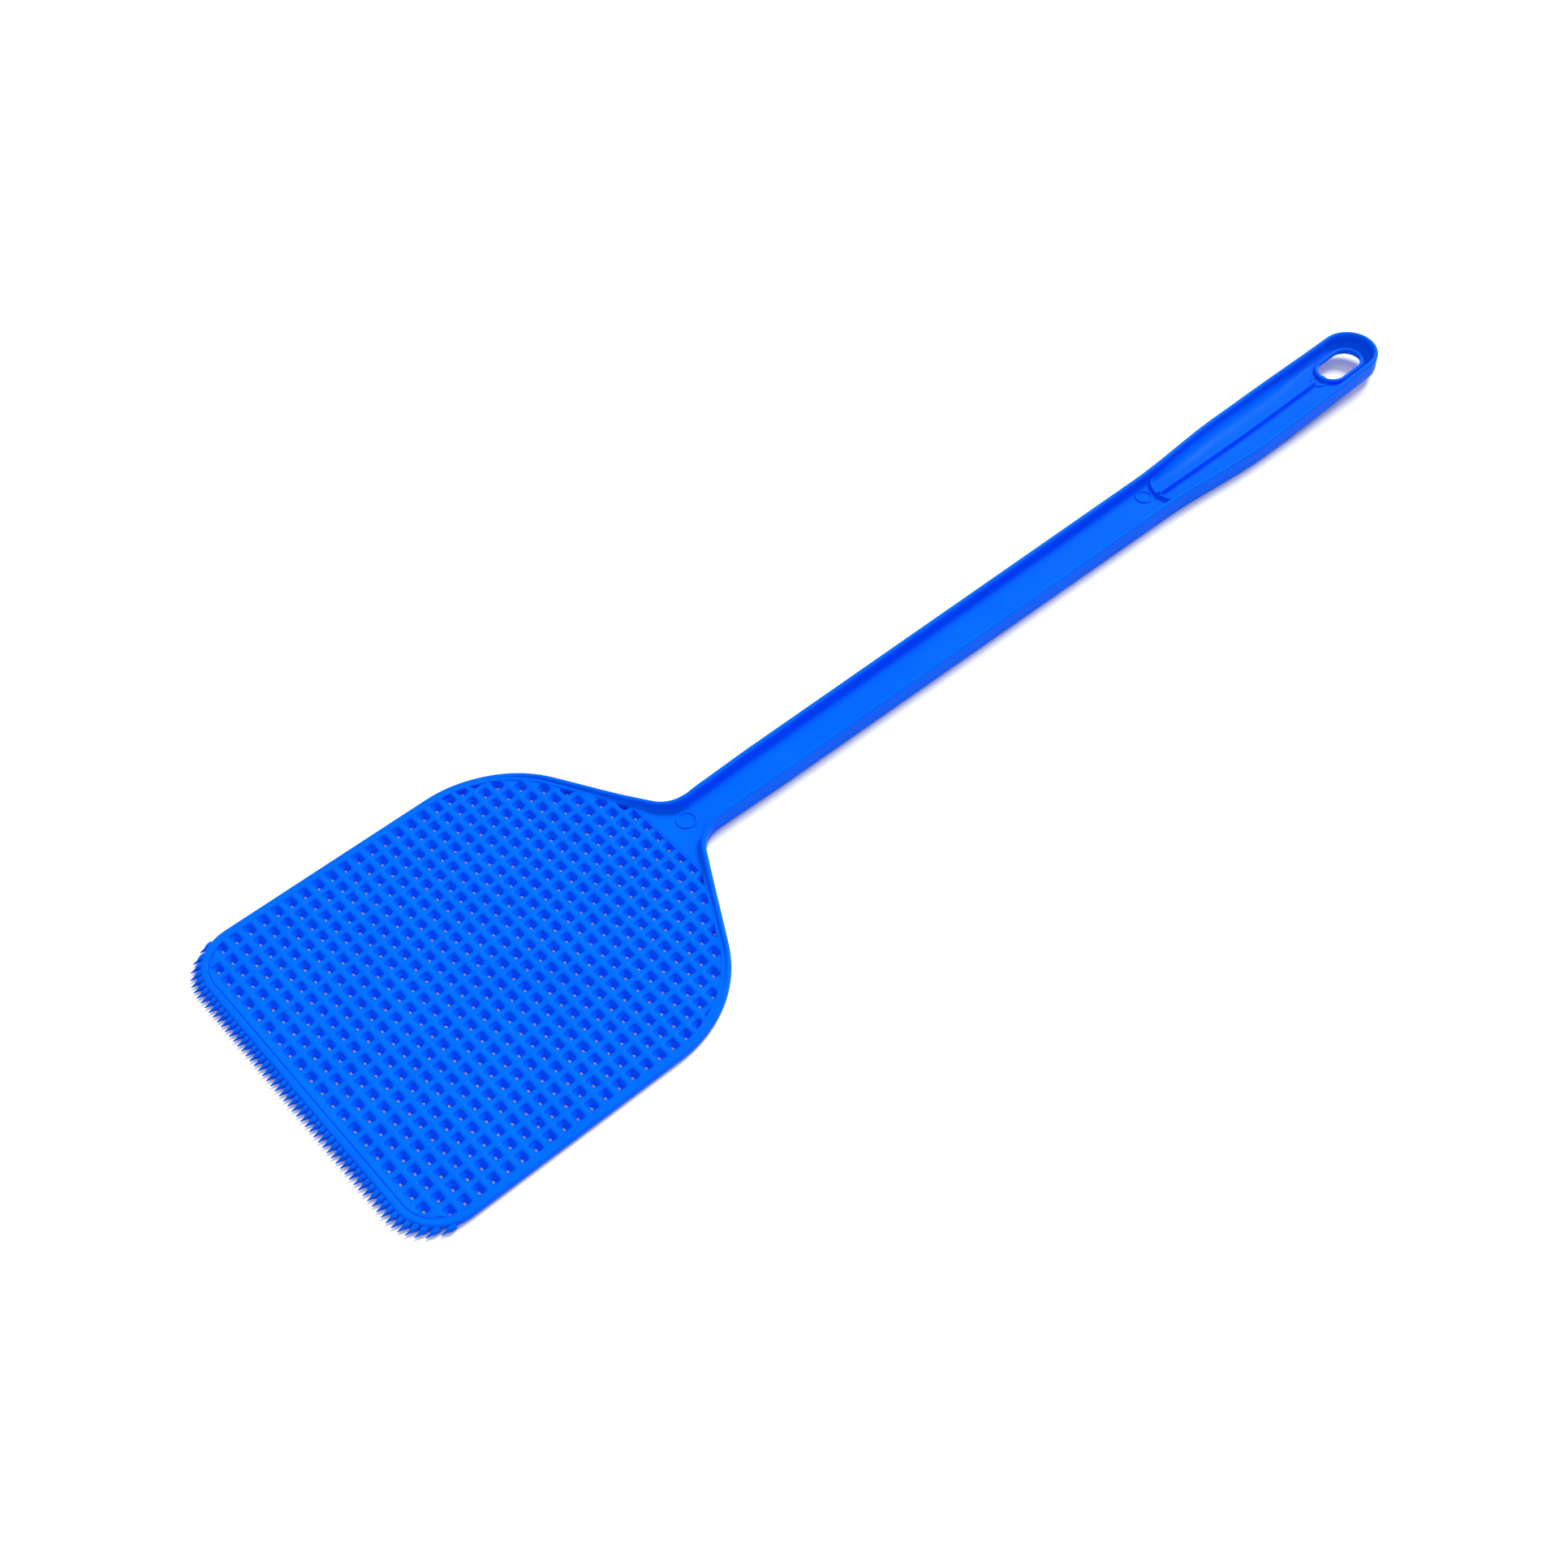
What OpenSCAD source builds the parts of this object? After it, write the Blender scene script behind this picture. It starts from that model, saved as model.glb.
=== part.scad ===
// Moulded fly swatter: a flat mesh head, a flexible neck and a channel-section handle.
// Millimetres. +X runs along the handle towards the hanging slot, +Z is up, and the
// XZ plane is the plane of symmetry. The origin is the centre of the footprint, with the
// underside at Z = 0.

/* [Overall] */
// Length from the tips of the front teeth to the end of the handle
overall_len = 421.5; // [410:0.5:440]

/* [Head] */
// Width of the head across its straight sides
head_w = 114; // [112:1:118]
// Length of the straight sides between the front corners and the shoulders
side_len = 66; // [64:1:68]
// Radius of the two front corners
corner_r = 13.5; // [10:0.5:15]
// Radius of the two shoulders
shoulder_r = 36; // [32:1:40]
// Angle by which the shoulders turn towards the neck
shoulder_angle = 61; // [58:1:64]
// Radius of the inside curve from the shoulders into the neck
neck_r = 10; // [8:0.5:12]
// Height of the rim round the mesh
rim_h = 2.4; // [2.4:0.1:3]
// Width of the rim round the mesh
rim_w = 2.6; // [2.2:0.1:3]

/* [Mesh] */
// Pitch of the holes along the swatter
cell_x = 4.4; // [4.3:0.05:4.5]
// Pitch of the holes across the swatter
cell_y = 5; // [4.9:0.05:5.05]
// Length of each hole
hole_x = 2.65; // [2.4:0.05:2.9]
// Width of each hole
hole_y = 3; // [2.7:0.05:3.2]
// Number of hole columns along the swatter
columns = 27; // [26:1:27]
// Number of hole rows across the swatter
rows = 22; // [20:2:22]
// Height of the mesh strands' underside above the resting surface
mesh_base = 0.3; // [0:0.1:0.6]
// Height of the mesh strands' top
mesh_top = 2.2; // [2:0.1:2.4]

/* [Front comb] */
// Number of teeth along the front edge
teeth = 57; // [51:2:57]
// Spacing of the teeth
tooth_pitch = 2; // [1.9:0.05:2]
// Length of each tooth in front of the head's edge
tooth_len = 2.6; // [2:0.1:3]
// Width of each tooth where it leaves the edge
tooth_root_w = 1.8; // [1.2:0.1:1.8]
// Width of each tooth at its tip
tooth_tip_w = 0.4; // [0.3:0.1:0.8]
// Width of the lip that carries the teeth
lip_w = 0.9; // [0.7:0.1:1.1]

/* [Handle] */
// Thickness of the web along the bottom of the channel
web_t = 2.2; // [2:0.1:2.4]
// Height of the side flanges
flange_h = 6.7; // [5.5:0.1:8]
// Thickness of the side flanges
flange_t = 1.5; // [1.2:0.1:1.8]
// Width across the flanges at the neck
neck_w = 12.8; // [11.8:0.1:13.4]
// Width of the shaft just behind the neck
shaft_front_w = 13.7; // [13.4:0.1:14.5]
// Width of the shaft where the grip begins
shaft_rear_w = 15.2; // [14.6:0.1:16]
// Greatest width of the grip
grip_w = 19.9; // [19:0.1:22]
// Diameter of the rounded end
end_d = 18.8; // [18:0.1:19]
// Length of the grip, from its front cross rib to the rounded end
grip_len = 99; // [96:0.5:104]

/* [Neck] */
// Length of the stretch that flexes
neck_len = 18; // [14:1:20]
// Length over which the flanges die away along the shoulders
bead_run = 22; // [20:1:30]

/* [Hanging slot] */
// Length of the slot
slot_len = 16; // [14:0.1:16.6]
// Width of the slot
slot_w = 9; // [8:0.1:9.8]
// Distance from the slot's centre to the rounded end
slot_inset = 13.4; // [12.4:0.1:13.8]
// Width of the collar round the slot
collar_t = 1.2; // [1.1:0.1:1.4]
// Height of the collar above the web
collar_h = 1.2; // [0.8:0.1:2]
// Thickness of the floor under the collar, which is cored out from below
plate_t = 1.2; // [1:0.1:2]
// How far the floor stands back under the collar, all round the slot
relief = 0.7; // [0.4:0.1:0.9]

/* [Grip bend] */
// Angle by which the rear of the grip is bent upwards
bend_angle = 2.4; // [0:0.1:4]
// Distance from the front cross rib to the middle of the bend
bend_inset = 40.5; // [36:0.5:46]
// Length over which the bend takes place
bend_run = 15; // [10:1:20]

/* [Grip ribs] */
// Thickness of the ribs
rib_t = 1.1; // [0.9:0.1:1.4]
// Height of the centre rib above the web
rib_h = 1.9; // [1.4:0.1:2.4]
// Height of the curved cross rib above the web
cross_rib_h = 1.2; // [0.8:0.1:2]
// Radius of the curved cross rib
cross_rib_r = 7.2; // [7:0.1:10]

/* [Ejector rings] */
// Outer diameter of the low ring that the mould's ejector pin leaves in front of the neck
throat_ring_d = 6.2; // [5:0.1:6.4]
// Outer diameter of the two rings in the grip
ring_d = 5.6; // [5:0.1:6]
// Width of their raised edge
ring_t = 0.8; // [0.6:0.1:1]
// Height of the rings above the web
ring_h = 0.4; // [0.2:0.05:0.5]

/* [Hidden] */

$fn = 64;
plastic_blue = [0.02, 0.42, 0.97];
// Degrees between the points of a curved outline
arc_step = 4;
// Distance between the stations of the handle's outline
station = 5;
// A little more than any height, for cutting
tall = 20;

// Places along X, from the front to the back
tip_x = -overall_len / 2;
edge_x = tip_x + tooth_len;
shoulder_x = edge_x + corner_r + side_len;
head_half = head_w / 2;
neck_half = neck_w / 2;
slope_len = (head_half - neck_half - (shoulder_r + neck_r) * (1 - cos(shoulder_angle)))
            / sin(shoulder_angle);
waist_x = shoulder_x + (shoulder_r + neck_r) * sin(shoulder_angle)
          + slope_len * cos(shoulder_angle);
// The front strand of the mesh is as wide as the rim, the lip and half a strand together
first_hole_x = edge_x + 4;
mesh_end_x = first_hole_x + (columns - 1) * cell_x + hole_x + (cell_x - hole_x) / 2 - 0.3;
neck_x0 = waist_x - 1;
neck_x1 = neck_x0 + neck_len;
end_x = overall_len / 2;
end_r = end_d / 2;
end_centre_x = end_x - end_r;
rib_x = end_x - grip_len;
grip_x0 = rib_x - 8;
swell_x0 = rib_x - 5;
swell_x1 = rib_x + 38;
taper_x0 = rib_x + 48;
slot_x = end_x - slot_inset;
collar_x0 = slot_x - slot_len / 2 - collar_t;
// The rear ring is half hidden by the collar
rear_ring_x = collar_x0 - 0.5;
plate_x0 = rear_ring_x - ring_d / 2;
shaft_settle_x = waist_x + 25;
bend_x0 = rib_x + bend_inset - bend_run / 2;
bend_steps = 6;
// Everything that follows the bend changes direction at the same places along X
bend_stations = concat([grip_x0 - station],
                       [for (i = [0:bend_steps]) bend_x0 + bend_run * i / bend_steps],
                       [end_x + station]);

// Eased step from 0 at a to 1 at b
function ramp(a, b, x) = min(1, max(0, (x - a) / (b - a)));
function ease(a, b, x) = let (t = ramp(a, b, x)) t * t * (3 - 2 * t);

// Half width of the handle at x
function handle_half(x) =
    neck_half
    + (shaft_front_w - neck_w) / 2 * ease(waist_x, shaft_settle_x, x)
    + (shaft_rear_w - shaft_front_w) / 2 * ramp(shaft_settle_x, swell_x0, x)
    + (grip_w - shaft_rear_w) / 2 * ease(swell_x0, swell_x1, x)
    - (grip_w - end_d) / 2 * ease(taper_x0, end_centre_x, x);

// Height by which the bend raises the handle at x
function lift(x) =
    let (along = max(0, x - bend_x0))
    tan(bend_angle) * (along < bend_run ? along * along / (2 * bend_run) : along - bend_run / 2);

function arc(cx, cy, r, a0, a1) =
    let (n = max(2, ceil(abs(a1 - a0) / arc_step)))
    [for (i = [0:n]) let (a = a0 + (a1 - a0) * i / n) [cx + r * cos(a), cy + r * sin(a)]];

// The +Y half of the head's outline, moved inwards by inset, from the front to the waist
function head_half_outline(inset) =
    concat(
        arc(edge_x + corner_r, head_half - corner_r, corner_r - inset, 180, 90),
        arc(shoulder_x, head_half - shoulder_r, shoulder_r - inset, 90, 90 - shoulder_angle),
        arc(waist_x, neck_half + neck_r, neck_r + inset, 270 - shoulder_angle, 270)
    );

// The +Y half of the handle's outline between two places, moved inwards by inset
function handle_half_outline(x0, x1, inset) =
    let (n = ceil((x1 - x0) / station))
    [for (i = [0:n]) let (x = x0 + (x1 - x0) * i / n) [x, handle_half(x) - inset]];

function mirrored(points) = [for (i = [len(points) - 1:-1:0]) [points[i][0], -points[i][1]]];

function backwards(points) = [for (i = [len(points) - 1:-1:0]) points[i]];

// Where the head's outline crosses y near the front
function front_edge_x(y) =
    let (over = abs(y) - (head_half - corner_r))
    over <= 0 ? edge_x : edge_x + corner_r - sqrt(corner_r * corner_r - over * over);

module slab(x0, x1) {
    translate([x0, -head_w])
        square([x1 - x0, 2 * head_w]);
}

// Head's plan shape up to the waist
module head_plan(inset) {
    half = head_half_outline(inset);
    polygon(concat(half, mirrored(half)));
}

// Head's plan shape between two places along X
module head_slice(inset, x0, x1) {
    intersection() {
        head_plan(inset);
        slab(x0, x1);
    }
}

// Web between the flanges, between two places along X
module web_plan(x0, x1) {
    half = handle_half_outline(x0, x1, flange_t);
    polygon(concat(half, mirrored(half)));
}

// One flange on the +Y side, between two places along X
module flange_plan(x0, x1) {
    polygon(concat(handle_half_outline(x0, x1, 0),
                   backwards(handle_half_outline(x0, x1, flange_t))));
}

// Plan of the hanging slot, grown by a margin
module slot_plan(margin) {
    half_run = (slot_len - slot_w) / 2;
    end_radius = slot_w / 2 + margin;
    translate([slot_x, 0]) {
        square([2 * half_run, 2 * end_radius], center = true);
        for (side = [-1, 1])
            translate([side * half_run, 0])
                circle(r = end_radius);
    }
}

// Gives a plan shape its thickness from z0 to z1 and lets it follow the bend
module bent(z0, z1) {
    under = [for (x = bend_stations) [x, z0 + lift(x)]];
    over = [for (x = bend_stations) [x, z1 + lift(x)]];
    intersection() {
        translate([0, 0, -1])
            linear_extrude(tall)
                children();
        rotate([90, 0, 0])
            translate([0, 0, -head_w])
                linear_extrude(2 * head_w)
                    polygon(concat(under, backwards(over)));
    }
}

module right_side() {
    mirror([0, 1, 0])
        children();
}

module striking_mesh() {
    color(plastic_blue)
        translate([0, 0, mesh_base])
            linear_extrude(mesh_top - mesh_base)
                difference() {
                    head_slice(rim_w, edge_x, mesh_end_x);
                    for (i = [0:columns - 1], j = [0:rows - 1])
                        translate([first_hole_x + i * cell_x, (j - (rows - 1) / 2) * cell_y])
                            translate([0, -hole_y / 2])
                                square([hole_x, hole_y]);
                }
}

module head_rim() {
    corner_end_x = edge_x + corner_r;
    color(plastic_blue)
        linear_extrude(rim_h)
            difference() {
                head_slice(0, edge_x, neck_x0);
                head_plan(rim_w);
                difference() {
                    slab(edge_x, corner_end_x);
                    head_plan(lip_w);
                }
            }
}

module front_comb() {
    corner_end_x = edge_x + corner_r;
    root = tooth_root_w / 2;
    tip = tooth_tip_w / 2;
    color(plastic_blue)
        translate([0, 0, mesh_base])
            linear_extrude(mesh_top - mesh_base)
                union() {
                    difference() {
                        head_slice(0, edge_x, corner_end_x);
                        head_plan(lip_w);
                    }
                    for (i = [0:teeth - 1]) {
                        y = (i - (teeth - 1) / 2) * tooth_pitch;
                        x = front_edge_x(y);
                        polygon([[x + lip_w / 2, y - root], [x, y - root], [x - tooth_len, y - tip],
                                 [x - tooth_len, y + tip], [x, y + root], [x + lip_w / 2, y + root]]);
                    }
                }
}

module throat_plate() {
    color(plastic_blue)
        linear_extrude(web_t)
            head_slice(rim_w, mesh_end_x, neck_x0);
}

module ring_plan(x, y, d) {
    translate([x, y])
        difference() {
            circle(d = d);
            circle(d = d - 2 * ring_t);
        }
}

module throat_ring() {
    color(plastic_blue)
        translate([0, 0, web_t])
            linear_extrude(ring_h)
                ring_plan(neck_x0 - throat_ring_d / 2 - 0.5, 1.2, throat_ring_d);
}

// Flange that follows the inside curve of the neck on top of the rim and dies away
module shoulder_bead() {
    x0 = neck_x0 - bead_run;
    steps = 12;
    profile = [for (i = [0:steps])
        let (x = x0 + bead_run * i / steps)
        [x, rim_h + 0.15 + (flange_h - rim_h - 0.15) * ease(x0, waist_x, x)]];
    color(plastic_blue)
        intersection() {
            translate([0, 0, rim_h])
                linear_extrude(flange_h)
                    intersection() {
                        difference() {
                            head_plan(0);
                            head_plan(flange_t);
                        }
                        translate([x0, 0])
                            square([bead_run, head_w]);
                    }
            rotate([90, 0, 0])
                translate([0, 0, -head_w])
                    linear_extrude(2 * head_w)
                        polygon(concat([[x0, 0]], profile, [[neck_x0, 0]]));
        }
}

module shoulder_bead_left() {
    shoulder_bead();
}

module shoulder_bead_right() {
    right_side()
        shoulder_bead();
}

// Channel between the head and the shaft, which flexes
module neck() {
    curve = [for (p = head_half_outline(0)) if (p[0] > neck_x0 && p[0] < waist_x) p];
    start_half = neck_half + neck_r - sqrt(neck_r * neck_r - pow(waist_x - neck_x0, 2));
    outer = concat([[neck_x0, start_half]], curve, handle_half_outline(waist_x, neck_x1, 0));
    inner = [for (p = outer) [p[0], p[1] - flange_t]];
    color(plastic_blue) {
        linear_extrude(web_t)
            polygon(concat(inner, mirrored(inner)));
        for (side = [0, 1])
            mirror([0, side, 0])
                linear_extrude(flange_h)
                    polygon(concat(outer, backwards(inner)));
    }
}

module shaft_web() {
    color(plastic_blue)
        linear_extrude(web_t)
            web_plan(neck_x1, grip_x0);
}

module shaft_flange() {
    color(plastic_blue)
        linear_extrude(flange_h)
            flange_plan(neck_x1, grip_x0);
}

module shaft_flange_left() {
    shaft_flange();
}

module shaft_flange_right() {
    right_side()
        shaft_flange();
}

module grip_web() {
    color(plastic_blue)
        bent(0, web_t)
            web_plan(grip_x0, plate_x0);
}

module grip_flange() {
    color(plastic_blue)
        bent(0, flange_h)
            flange_plan(grip_x0, end_centre_x);
}

module grip_flange_left() {
    grip_flange();
}

module grip_flange_right() {
    right_side()
        grip_flange();
}

module end_wall() {
    color(plastic_blue)
        bent(0, flange_h)
            translate([end_centre_x, 0])
                difference() {
                    circle(r = end_r);
                    circle(r = end_r - flange_t);
                    translate([-end_d, -end_d])
                        square([end_d, 2 * end_d]);
                }
}

// Floor of the rounded end, with the slot through it
module slot_plate() {
    side = handle_half_outline(plate_x0, end_centre_x, flange_t);
    end = arc(end_centre_x, 0, end_r - flange_t, 90 - arc_step, arc_step - 90);
    color(plastic_blue)
        bent(web_t - plate_t, web_t)
            difference() {
                polygon(concat(side, end, mirrored(side)));
                slot_plan(relief);
            }
}

module slot_collar() {
    color(plastic_blue)
        bent(web_t, web_t + collar_h)
            difference() {
                slot_plan(collar_t);
                slot_plan(0);
            }
}

module centre_rib() {
    x0 = rib_x + rib_t / 2;
    color(plastic_blue)
        bent(web_t, web_t + rib_h)
            translate([x0, -rib_t / 2])
                square([plate_x0 - x0, rib_t]);
}

// Arc between the flanges that bulges towards the head
module cross_rib() {
    centre_x = rib_x + cross_rib_r;
    half_angle = 76;
    color(plastic_blue)
        translate([0, 0, web_t])
            linear_extrude(cross_rib_h)
                intersection() {
                    web_plan(rib_x - rib_t, centre_x);
                    polygon(concat(
                        arc(centre_x, 0, cross_rib_r + rib_t / 2, 180 - half_angle, 180 + half_angle),
                        arc(centre_x, 0, cross_rib_r - rib_t / 2, 180 + half_angle, 180 - half_angle)
                    ));
                }
}

// One ring in front of the cross rib and one between the centre rib and the collar
module grip_rings() {
    color(plastic_blue)
        bent(web_t, web_t + ring_h)
            difference() {
                union() {
                    ring_plan(rib_x - 3.6, ring_d / 2, ring_d);
                    ring_plan(rear_ring_x, 0, ring_d);
                }
                slot_plan(collar_t);
            }
}

striking_mesh();
head_rim();
front_comb();
throat_plate();
throat_ring();
shoulder_bead_left();
shoulder_bead_right();
neck();
shaft_web();
shaft_flange_left();
shaft_flange_right();
grip_web();
grip_flange_left();
grip_flange_right();
end_wall();
slot_plate();
slot_collar();
centre_rib();
cross_rib();
grip_rings();
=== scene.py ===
"""The moulded fly swatter as it looks: rounded pieces in blue plastic, placed on the CAD.

Lengths are millimetres in the CAD's frame until a mesh is made. +X runs along the handle
towards the hanging slot, +Z is up and the XZ plane is the plane of symmetry.
"""

import math

import bmesh
import bpy
import numpy as np
from mathutils import Matrix, Vector


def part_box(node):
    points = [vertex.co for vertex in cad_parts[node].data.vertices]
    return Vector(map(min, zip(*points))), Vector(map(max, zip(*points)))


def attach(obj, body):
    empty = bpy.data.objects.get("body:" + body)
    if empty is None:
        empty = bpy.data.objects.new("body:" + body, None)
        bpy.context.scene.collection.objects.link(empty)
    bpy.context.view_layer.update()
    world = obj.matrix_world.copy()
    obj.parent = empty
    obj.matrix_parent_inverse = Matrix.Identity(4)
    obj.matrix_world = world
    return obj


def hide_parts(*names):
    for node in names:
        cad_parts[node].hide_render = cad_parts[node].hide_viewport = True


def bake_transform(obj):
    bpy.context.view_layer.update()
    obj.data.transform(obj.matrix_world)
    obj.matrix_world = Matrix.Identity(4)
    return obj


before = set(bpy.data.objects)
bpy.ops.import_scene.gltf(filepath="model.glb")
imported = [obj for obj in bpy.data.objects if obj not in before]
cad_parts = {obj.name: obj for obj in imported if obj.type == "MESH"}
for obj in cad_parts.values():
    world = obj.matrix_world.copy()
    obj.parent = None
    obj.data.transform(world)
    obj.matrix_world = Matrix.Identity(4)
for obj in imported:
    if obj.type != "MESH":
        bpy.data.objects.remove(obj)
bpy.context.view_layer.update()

MM = 0.001


def cad(node):
    """Lowest and highest corner of a CAD node, in millimetres."""
    lo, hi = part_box(node)
    return np.array(lo) / MM, np.array(hi) / MM


# Places and sizes taken from the frame
rim_lo, rim_hi = cad("head_rim")
mesh_lo, mesh_hi = cad("striking_mesh")
comb_lo, _ = cad("front_comb")
neck_lo, neck_hi = cad("neck")
_, throat_hi = cad("throat_plate")
end_lo, end_hi = cad("end_wall")
plate_lo, _ = cad("slot_plate")
collar_lo, collar_hi = cad("slot_collar")
spine_lo, spine_hi = cad("centre_rib")
_, arc_hi = cad("cross_rib")
_, grip_hi = cad("grip_flange_left")

EDGE_X, HEAD_HALF, RIM_H = rim_lo[0], rim_hi[1], rim_hi[2]
MESH_BASE, MESH_TOP, MESH_END_X = mesh_lo[2], mesh_hi[2], mesh_hi[0]
TOOTH_LEN = EDGE_X - comb_lo[0]
NECK_X0, NECK_X1, FLANGE_H = neck_lo[0], neck_hi[0], neck_hi[2]
END_R, END_CENTRE_X = end_hi[1], end_lo[0]
WEB_T = throat_hi[2]
PLATE_X0 = plate_lo[0]
GRIP_HALF = grip_hi[1]
RIB_T = spine_hi[1] - spine_lo[1]
ARC_TOP = arc_hi[2]
RIB_X = spine_lo[0] - RIB_T / 2

# Outline of the head, as in the CAD
RIM_W = 2.6
CORNER_R = 13.5
SIDE_LEN = 66
SHOULDER_R = 36
SHOULDER_ANGLE = 61
NECK_R = 10

# Channel of the handle, as in the CAD
FLANGE_T = 1.5
NECK_HALF = 6.4
SHAFT_FRONT_HALF = 6.85
SHAFT_REAR_HALF = 7.6
SHAFT_SETTLE = 25
SWELL = (RIB_X - 5, RIB_X + 38)
TAPER_X = RIB_X + 48
BEND_ANGLE = 2.4
BEND_RUN = 15
BEND_X0 = RIB_X + 40.5 - BEND_RUN / 2

# Ribs, rings and hanging slot, as in the CAD
PLATE_T = 1.2
COLLAR_T = 1.2
COLLAR_H = 1.2
RELIEF = 0.7
RIB_H = 1.9
ARC_R = 7.2
RING_T = 0.8
RING_H = 0.4

# Mesh and teeth, as in the CAD
CELL_X, CELL_Y = 4.4, 5.0
HOLE_X = 2.65
COLUMNS, ROWS = 27, 22
FIRST_HOLE = 4.0
TEETH, TOOTH_PITCH = 57, 2.0

# How far the rim rises along the shoulders before it turns into the flange
SHOULDER_RISE = 1.0


def ramp(a, b, x):
    return min(1.0, max(0.0, (x - a) / (b - a)))


def ease(a, b, x):
    t = ramp(a, b, x)
    return t * t * (3 - 2 * t)


def handle_half(x):
    """Half width of the handle at x."""
    settle = waist_x + SHAFT_SETTLE
    return (
        NECK_HALF
        + (SHAFT_FRONT_HALF - NECK_HALF) * ease(waist_x, settle, x)
        + (SHAFT_REAR_HALF - SHAFT_FRONT_HALF) * ramp(settle, SWELL[0], x)
        + (GRIP_HALF - SHAFT_REAR_HALF) * ease(*SWELL, x)
        - (GRIP_HALF - END_R) * ease(TAPER_X, END_CENTRE_X, x)
    )


def lift(x):
    """Height by which the bend in the grip raises the handle at x."""
    along = np.maximum(0, np.asarray(x, float) - BEND_X0)
    curve = along**2 / (2 * BEND_RUN)
    return math.tan(math.radians(BEND_ANGLE)) * np.where(
        along < BEND_RUN, curve, along - BEND_RUN / 2
    )


def lifted(points):
    """Points of the handle, moved up by the bend."""
    points = np.array(points, float)
    points[:, 2] += lift(points[:, 0])
    return points


def arc(cx, cy, r, a0, a1, facing, step=3.0):
    """Points on an arc with their inward normals; facing is -1 where the centre is inside."""
    n = max(2, math.ceil(abs(a1 - a0) / step))
    out = []
    for i in range(n + 1):
        a = math.radians(a0 + (a1 - a0) * i / n)
        c, s = math.cos(a), math.sin(a)
        out.append((cx + r * c, cy + r * s, facing * c, facing * s))
    return out


def straight(p, q, n, pitch):
    """Points between p and q, both left out, with one inward normal."""
    p, q = np.array(p, float), np.array(q, float)
    k = max(1, round(float(np.linalg.norm(q - p)) / pitch))
    return [(*(p + (q - p) * i / k), *n) for i in range(1, k)]


turn = math.radians(SHOULDER_ANGLE)
shoulder_x = EDGE_X + CORNER_R + SIDE_LEN
slope_drop = HEAD_HALF - NECK_HALF - (SHOULDER_R + NECK_R) * (1 - math.cos(turn))
waist_x = (
    shoulder_x + (SHOULDER_R + NECK_R) * math.sin(turn) + slope_drop / math.tan(turn)
)


def head_half_outline():
    """Outline of the +Y half of the head from the front's middle to the neck."""
    corner = arc(EDGE_X + CORNER_R, HEAD_HALF - CORNER_R, CORNER_R, 180, 90, -1)
    shoulder = arc(
        shoulder_x, HEAD_HALF - SHOULDER_R, SHOULDER_R, 90, 90 - SHOULDER_ANGLE, -1
    )
    last = 270 - math.degrees(math.asin((waist_x - NECK_X0) / NECK_R))
    throat = arc(waist_x, NECK_HALF + NECK_R, NECK_R, 270 - SHOULDER_ANGLE, last, 1)
    front = [(EDGE_X, 0.0, 1.0, 0.0)]
    front += straight((EDGE_X, 0), corner[0][:2], (1, 0), 3)
    side = straight(corner[-1][:2], shoulder[0][:2], (0, -1), 6)
    slope = straight(shoulder[-1][:2], throat[0][:2], shoulder[-1][2:], 2)
    x, y = throat[-1][:2]
    throat[-1] = (x, y, 0.0, -1.0)  # its section lies in the plane where the neck starts
    return front + corner + side + shoulder + slope + throat


def head_outline():
    """Whole outline, from the neck on the -Y side round the front to the +Y side."""
    half = head_half_outline()
    other = [(x, -y, nx, -ny) for x, y, nx, ny in reversed(half[1:])]
    return np.array(other + half)


# Smallest angle in degrees at which an edge is drawn sharp
CREASE = 35


def add_piece(name, verts, faces, body=None, crease=CREASE):
    """A smooth mesh piece of plastic from points in millimetres."""
    mesh = bpy.data.meshes.new(name)
    mesh.from_pydata((np.array(verts) * MM).tolist(), [], faces)
    mesh.validate()
    face_outwards(mesh)
    mesh.shade_smooth()
    mesh.set_sharp_from_angle(angle=math.radians(crease))
    obj = bpy.data.objects.new(name, mesh)
    bpy.context.scene.collection.objects.link(obj)
    mesh.materials.append(plastic)
    if body:
        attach(obj, body)
    return obj


def face_outwards(mesh):
    bm = bmesh.new()
    bm.from_mesh(mesh)
    bmesh.ops.recalc_face_normals(bm, faces=bm.faces)
    bm.to_mesh(mesh)
    bm.free()


def loft(rings, closed=False):
    """Vertices and faces of a skin over rings of equal length, capped unless closed."""
    rings = np.array(rings)
    n, m = rings.shape[:2]
    faces = []
    for i in range(n if closed else n - 1):
        a, b = i * m, (i + 1) % n * m
        for j in range(m):
            k = (j + 1) % m
            faces.append((a + j, b + j, b + k, a + k))
    if not closed:
        faces.append(tuple(range(m)))
        faces.append(tuple(range((n - 1) * m, n * m))[::-1])
    return rings.reshape(-1, 3), faces


def join(parts):
    """One list of vertices and faces from several closed skins."""
    verts, faces, base = [], [], 0
    for v, f in parts:
        verts.append(np.array(v))
        faces += [tuple(base + i for i in face) for face in f]
        base += len(v)
    return np.concatenate(verts), faces


# ---------------------------------------------------------------- plastic


# Colour of the pigment between its two extremes
BLUE_LOW = (0.0004, 0.109, 0.88, 1)
BLUE_HIGH = (0.0006, 0.120, 0.91, 1)
IOR = 1.49
SPECULAR = 0.025
SPECULAR_TINT = (0.12, 0.85, 1.0, 1)
ROUGHNESS = (0.3, 0.4)
# Scale per metre and detail of each noise
DRIFT = (55.0, 3.0)
HAZE = (180.0, 4.0)
RIPPLE = (130.0, 2.0)
GRAIN = (2600.0, 3.0)
BUMP_STRENGTH = 0.2
# Height in metres of each bump
RIPPLE_HEIGHT = 0.00012
GRAIN_HEIGHT = 0.00002


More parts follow.
